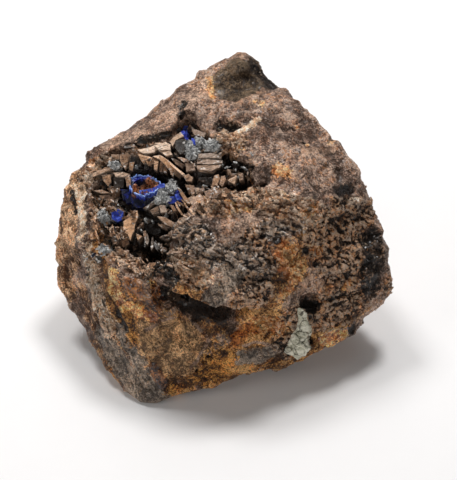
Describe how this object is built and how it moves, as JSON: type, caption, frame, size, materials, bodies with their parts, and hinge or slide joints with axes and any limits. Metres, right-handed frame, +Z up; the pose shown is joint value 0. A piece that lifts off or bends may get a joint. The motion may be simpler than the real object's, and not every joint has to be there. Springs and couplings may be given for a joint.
{
  "type": "mineral specimen rock",
  "caption": "Angular iron-stained rock, broken on all sides, with a hollow in its top lined by bladed crystals, tufts of blue azurite and a pale crust on its front.",
  "frame": {"origin": "on the flat foot face that the rock stands on, under the middle of the rock", "axes": "+Z up from the foot face; +X along the longest side; -Y towards the face with the ledge, from which the hollow in the top is seen"},
  "size_m": [0.0855, 0.0726, 0.0551],
  "materials": {
    "rock": "rough broken rock, rust and dark brown stains",
    "calcite_crust": "tan to black bladed crystals with a dull sheen",
    "azurite": "deep blue, glassy",
    "pale_crust": "chalky grey-green flakes"
  },
  "bodies": {
    "root": {"rock": "rock", "calcite_crust": "calcite_crust", "azurite_main": "azurite", "azurite_upper": "azurite", "azurite_lower": "azurite", "pale_crust": "pale_crust"}
  },
  "joints": []
}
